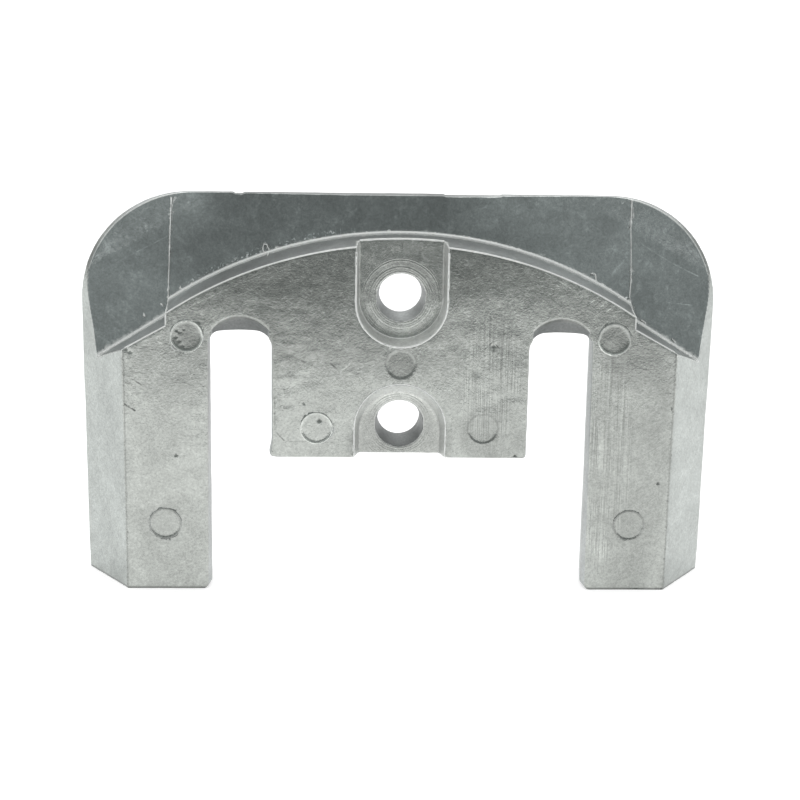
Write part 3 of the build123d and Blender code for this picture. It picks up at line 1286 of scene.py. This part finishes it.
    def fused(self, mesh: bpy.types.Mesh, addition: bpy.types.Mesh) -> bpy.types.Mesh:
        """Unites two closed meshes in one skin."""
        holder, added = put("casting_skin", mesh), put("casting_addition", addition)
        modifier = holder.modifiers.new("union", "BOOLEAN")
        modifier.operation = "UNION"
        modifier.solver = "MANIFOLD"
        modifier.object = added
        united = bake(holder)
        bpy.data.objects.remove(added)
        return united

    def mark_zones(self, mesh: bpy.types.Mesh) -> None:
        """Writes the zones to the mesh as point attributes.

        Args:
            mesh: the finished mesh.
        """
        plate = self.plate
        spots, facing = self.read(mesh)
        x, depth, z = spots[:, 0], spots[:, 1] + plate.thickness / 2, spots[:, 2]
        across, seat = np.abs(x), plate.seat_half
        bends = self.bends(mesh)
        past = plate.past_arch(x, z)
        # Ridges carry painted highlight: kept near the arch and the seats, and taken off the top edge.
        edged = np.maximum(ease(past, -1.2, -0.6), ease(across, seat + 1.2, seat + 0.7))
        edged *= 1.0 - ease(z, 96.0, 97.0) * ease(across, 56.0, 52.0)
        bends[Zone.RIDGE] *= 0.1 + 0.9 * edged
        foot = np.abs(past + plate.tapered(x, depth) - 1.0)
        floor = np.where(across < plate.insert_half, plate.shelf_depth, plate.end_shelf_depth)
        # Painted highlight along the foot of the shelf's wall, added to the ridges.
        lit = ease(depth - floor, -0.9, -0.5) * ease(foot, 0.55, 0.3) * ease(across, 75.6, 74.9)
        bends[Zone.RIDGE] = np.maximum(bends[Zone.RIDGE], lit)
        for pin in PIN_MARKS:
            away = np.hypot(x - pin.x, z - pin.z)
            bends[Zone.HOLLOW] *= np.maximum(ease(away, 4.4, 5.2), ease(away, 3.2, 2.4))
        inside = ease(across, seat + 0.3, seat) * ease(depth, 0.2, 0.5) * ease(depth, 6.2, 5.8)
        for middle in (plate.upper_hole, plate.lower_hole):
            inside *= ease(np.hypot(x, z - middle), 6.8, 7.4)
        bends[Zone.RIM] = inside * ease(-facing[:, 1], 0.9, 0.75) * ease(facing[:, 1], 0.6, 0.3)
        for zone, values in (plate.masks(spots, facing) | bends).items():
            layer = mesh.attributes.new(zone.value, "FLOAT", "POINT")
            layer.data.foreach_set("value", values.astype(np.float32))


@dataclass(frozen=True)
class ShotCamera:
    """The camera, slightly to the left of the plate and above it."""

    place: tuple[float, float, float] = (-0.01838, -0.4702, 0.17878)
    target: tuple[float, float, float] = (-0.00007, -0.00825, 0.0497)
    roll: float = 1.02
    lens: float = 87.75

    def build(self) -> bpy.types.Object:
        """Makes the scene's camera."""
        camera = put("camera", bpy.data.cameras.new("camera"))
        camera.data.lens = self.lens
        ahead = (Vector(self.target) - Vector(self.place)).normalized()
        right = ahead.cross(Vector((0, 0, 1))).normalized()
        over = right.cross(ahead)
        turn = math.radians(self.roll)
        side = right * math.cos(turn) + over * math.sin(turn)
        top = side.cross(ahead)
        turned = Matrix((side, top, -ahead)).transposed().to_4x4()
        camera.matrix_world = Matrix.Translation(self.place) @ turned
        bpy.context.scene.camera = camera
        return camera


@dataclass(frozen=True)
class Studio:
    """A pale floor under soft light, weaker low down, with a grey card in front.

    Attributes:
        floor_half: half the floor's width.
        low_light: the light that comes from low down.
        top_light: the light that comes from above.
        card_distance: how far the card stands in front of the origin.
        card_half, card_foot, card_top: half its width, and its height from foot to top.
        card_light: how light it is.
    """

    floor_half: float = 6.0
    low_light: float = 0.45
    top_light: float = 1.15
    card_distance: float = 0.275
    card_half: float = 1.2
    card_foot: float = 0.001
    card_top: float = 0.9
    card_light: float = 0.31

    def sheet(self, name: str, corners: list[tuple], material: bpy.types.Material) -> bpy.types.Object:
        """Lays out a flat sheet whose corners are given in turn round its front."""
        mesh = bpy.data.meshes.new(name)
        mesh.from_pydata(corners, [], [(0, 1, 2, 3)])
        mesh.materials.append(material)
        return put(name, mesh)

    def floor(self) -> bpy.types.Object:
        """Lays the floor."""
        half = self.floor_half
        corners = [(-half, -half, 0), (half, -half, 0), (half, half, 0), (-half, half, 0)]
        floor = self.sheet("studio_floor", corners, FloorFinish().material())
        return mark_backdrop(floor)

    def sky(self) -> None:
        """Sets the soft light that comes from all round."""
        world = bpy.data.worlds.new("studio_light")
        world.use_nodes = True
        bpy.context.scene.world = world
        bench = NodeBench(world.node_tree)
        way = bench.parts(bench.add("ShaderNodeTexCoord").outputs["Generated"])
        strength = bench.step(way["Z"], 0.12, 0.75, self.low_light, self.top_light)
        light = world.node_tree.nodes["Background"]
        bench.fill(light, {"Strength": strength, "Color": (1.0, 1.0, 1.0)})

    def card(self) -> bpy.types.Object:
        """Stands a grey card under the camera, which only the metal's reflections see."""
        grey, bench, shader = start_material("grey_card")
        inputs = {
            "Base Color": (0.0, 0.0, 0.0),
            "Specular IOR Level": 0.0,
            "Emission Color": (0.94, 1.0, 0.99),
            "Emission Strength": self.card_light,
        }
        bench.fill(shader, inputs)
        y, half, foot, top = -self.card_distance, self.card_half, self.card_foot, self.card_top
        corners = [(-half, y, top), (half, y, top), (half, y, foot), (-half, y, foot)]
        card = self.sheet("grey_card", corners, grey)
        card.visible_camera = False
        card.visible_diffuse = False
        card.visible_shadow = False
        card.visible_transmission = False
        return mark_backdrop(card)

    def lamp(self, name: str, place: tuple, aim: tuple, size: float, power: float) -> bpy.types.Object:
        """Hangs a square soft light.

        Args:
            name: the light's name.
            place: where it hangs.
            aim: the point it faces.
            size: length of its sides.
            power: its strength in watts.

        Returns:
            The light.
        """
        data = bpy.data.lights.new(name, "AREA")
        data.size = size
        data.energy = power
        light = put(name, data)
        light.location = place
        light.rotation_euler = (Vector(aim) - Vector(place)).to_track_quat("-Z", "Y").to_euler()
        return light

    def build(self) -> None:
        """Sets up the floor and the lights."""
        self.floor()
        self.sky()
        self.card()
        self.lamp("overhead_soft", (0.05, 0.25, 0.8), (0.0, 0.0, 0.05), 0.7, 1.5)
        bpy.context.scene.view_settings.view_transform = "Standard"


def corners(box: tuple[Vector, Vector]) -> list[list[float]]:
    """Turns a box's two corners into plain lists."""
    return [[float(value) for value in corner] for corner in box]


def main() -> None:
    """Builds the scene in order and works out its bounds before and after."""
    logging.basicConfig(level=logging.INFO, format="%(name)s: %(message)s")
    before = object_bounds()
    ShotCamera().build()
    Studio().build()
    piece = AnodeCasting(Plate(), CastMetal()).build()
    LOG.info("built %s, %d faces", piece.name, len(piece.data.polygons))
    {"cad": corners(before), "visual": corners(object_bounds())}


if __name__ == "__main__":
    main()
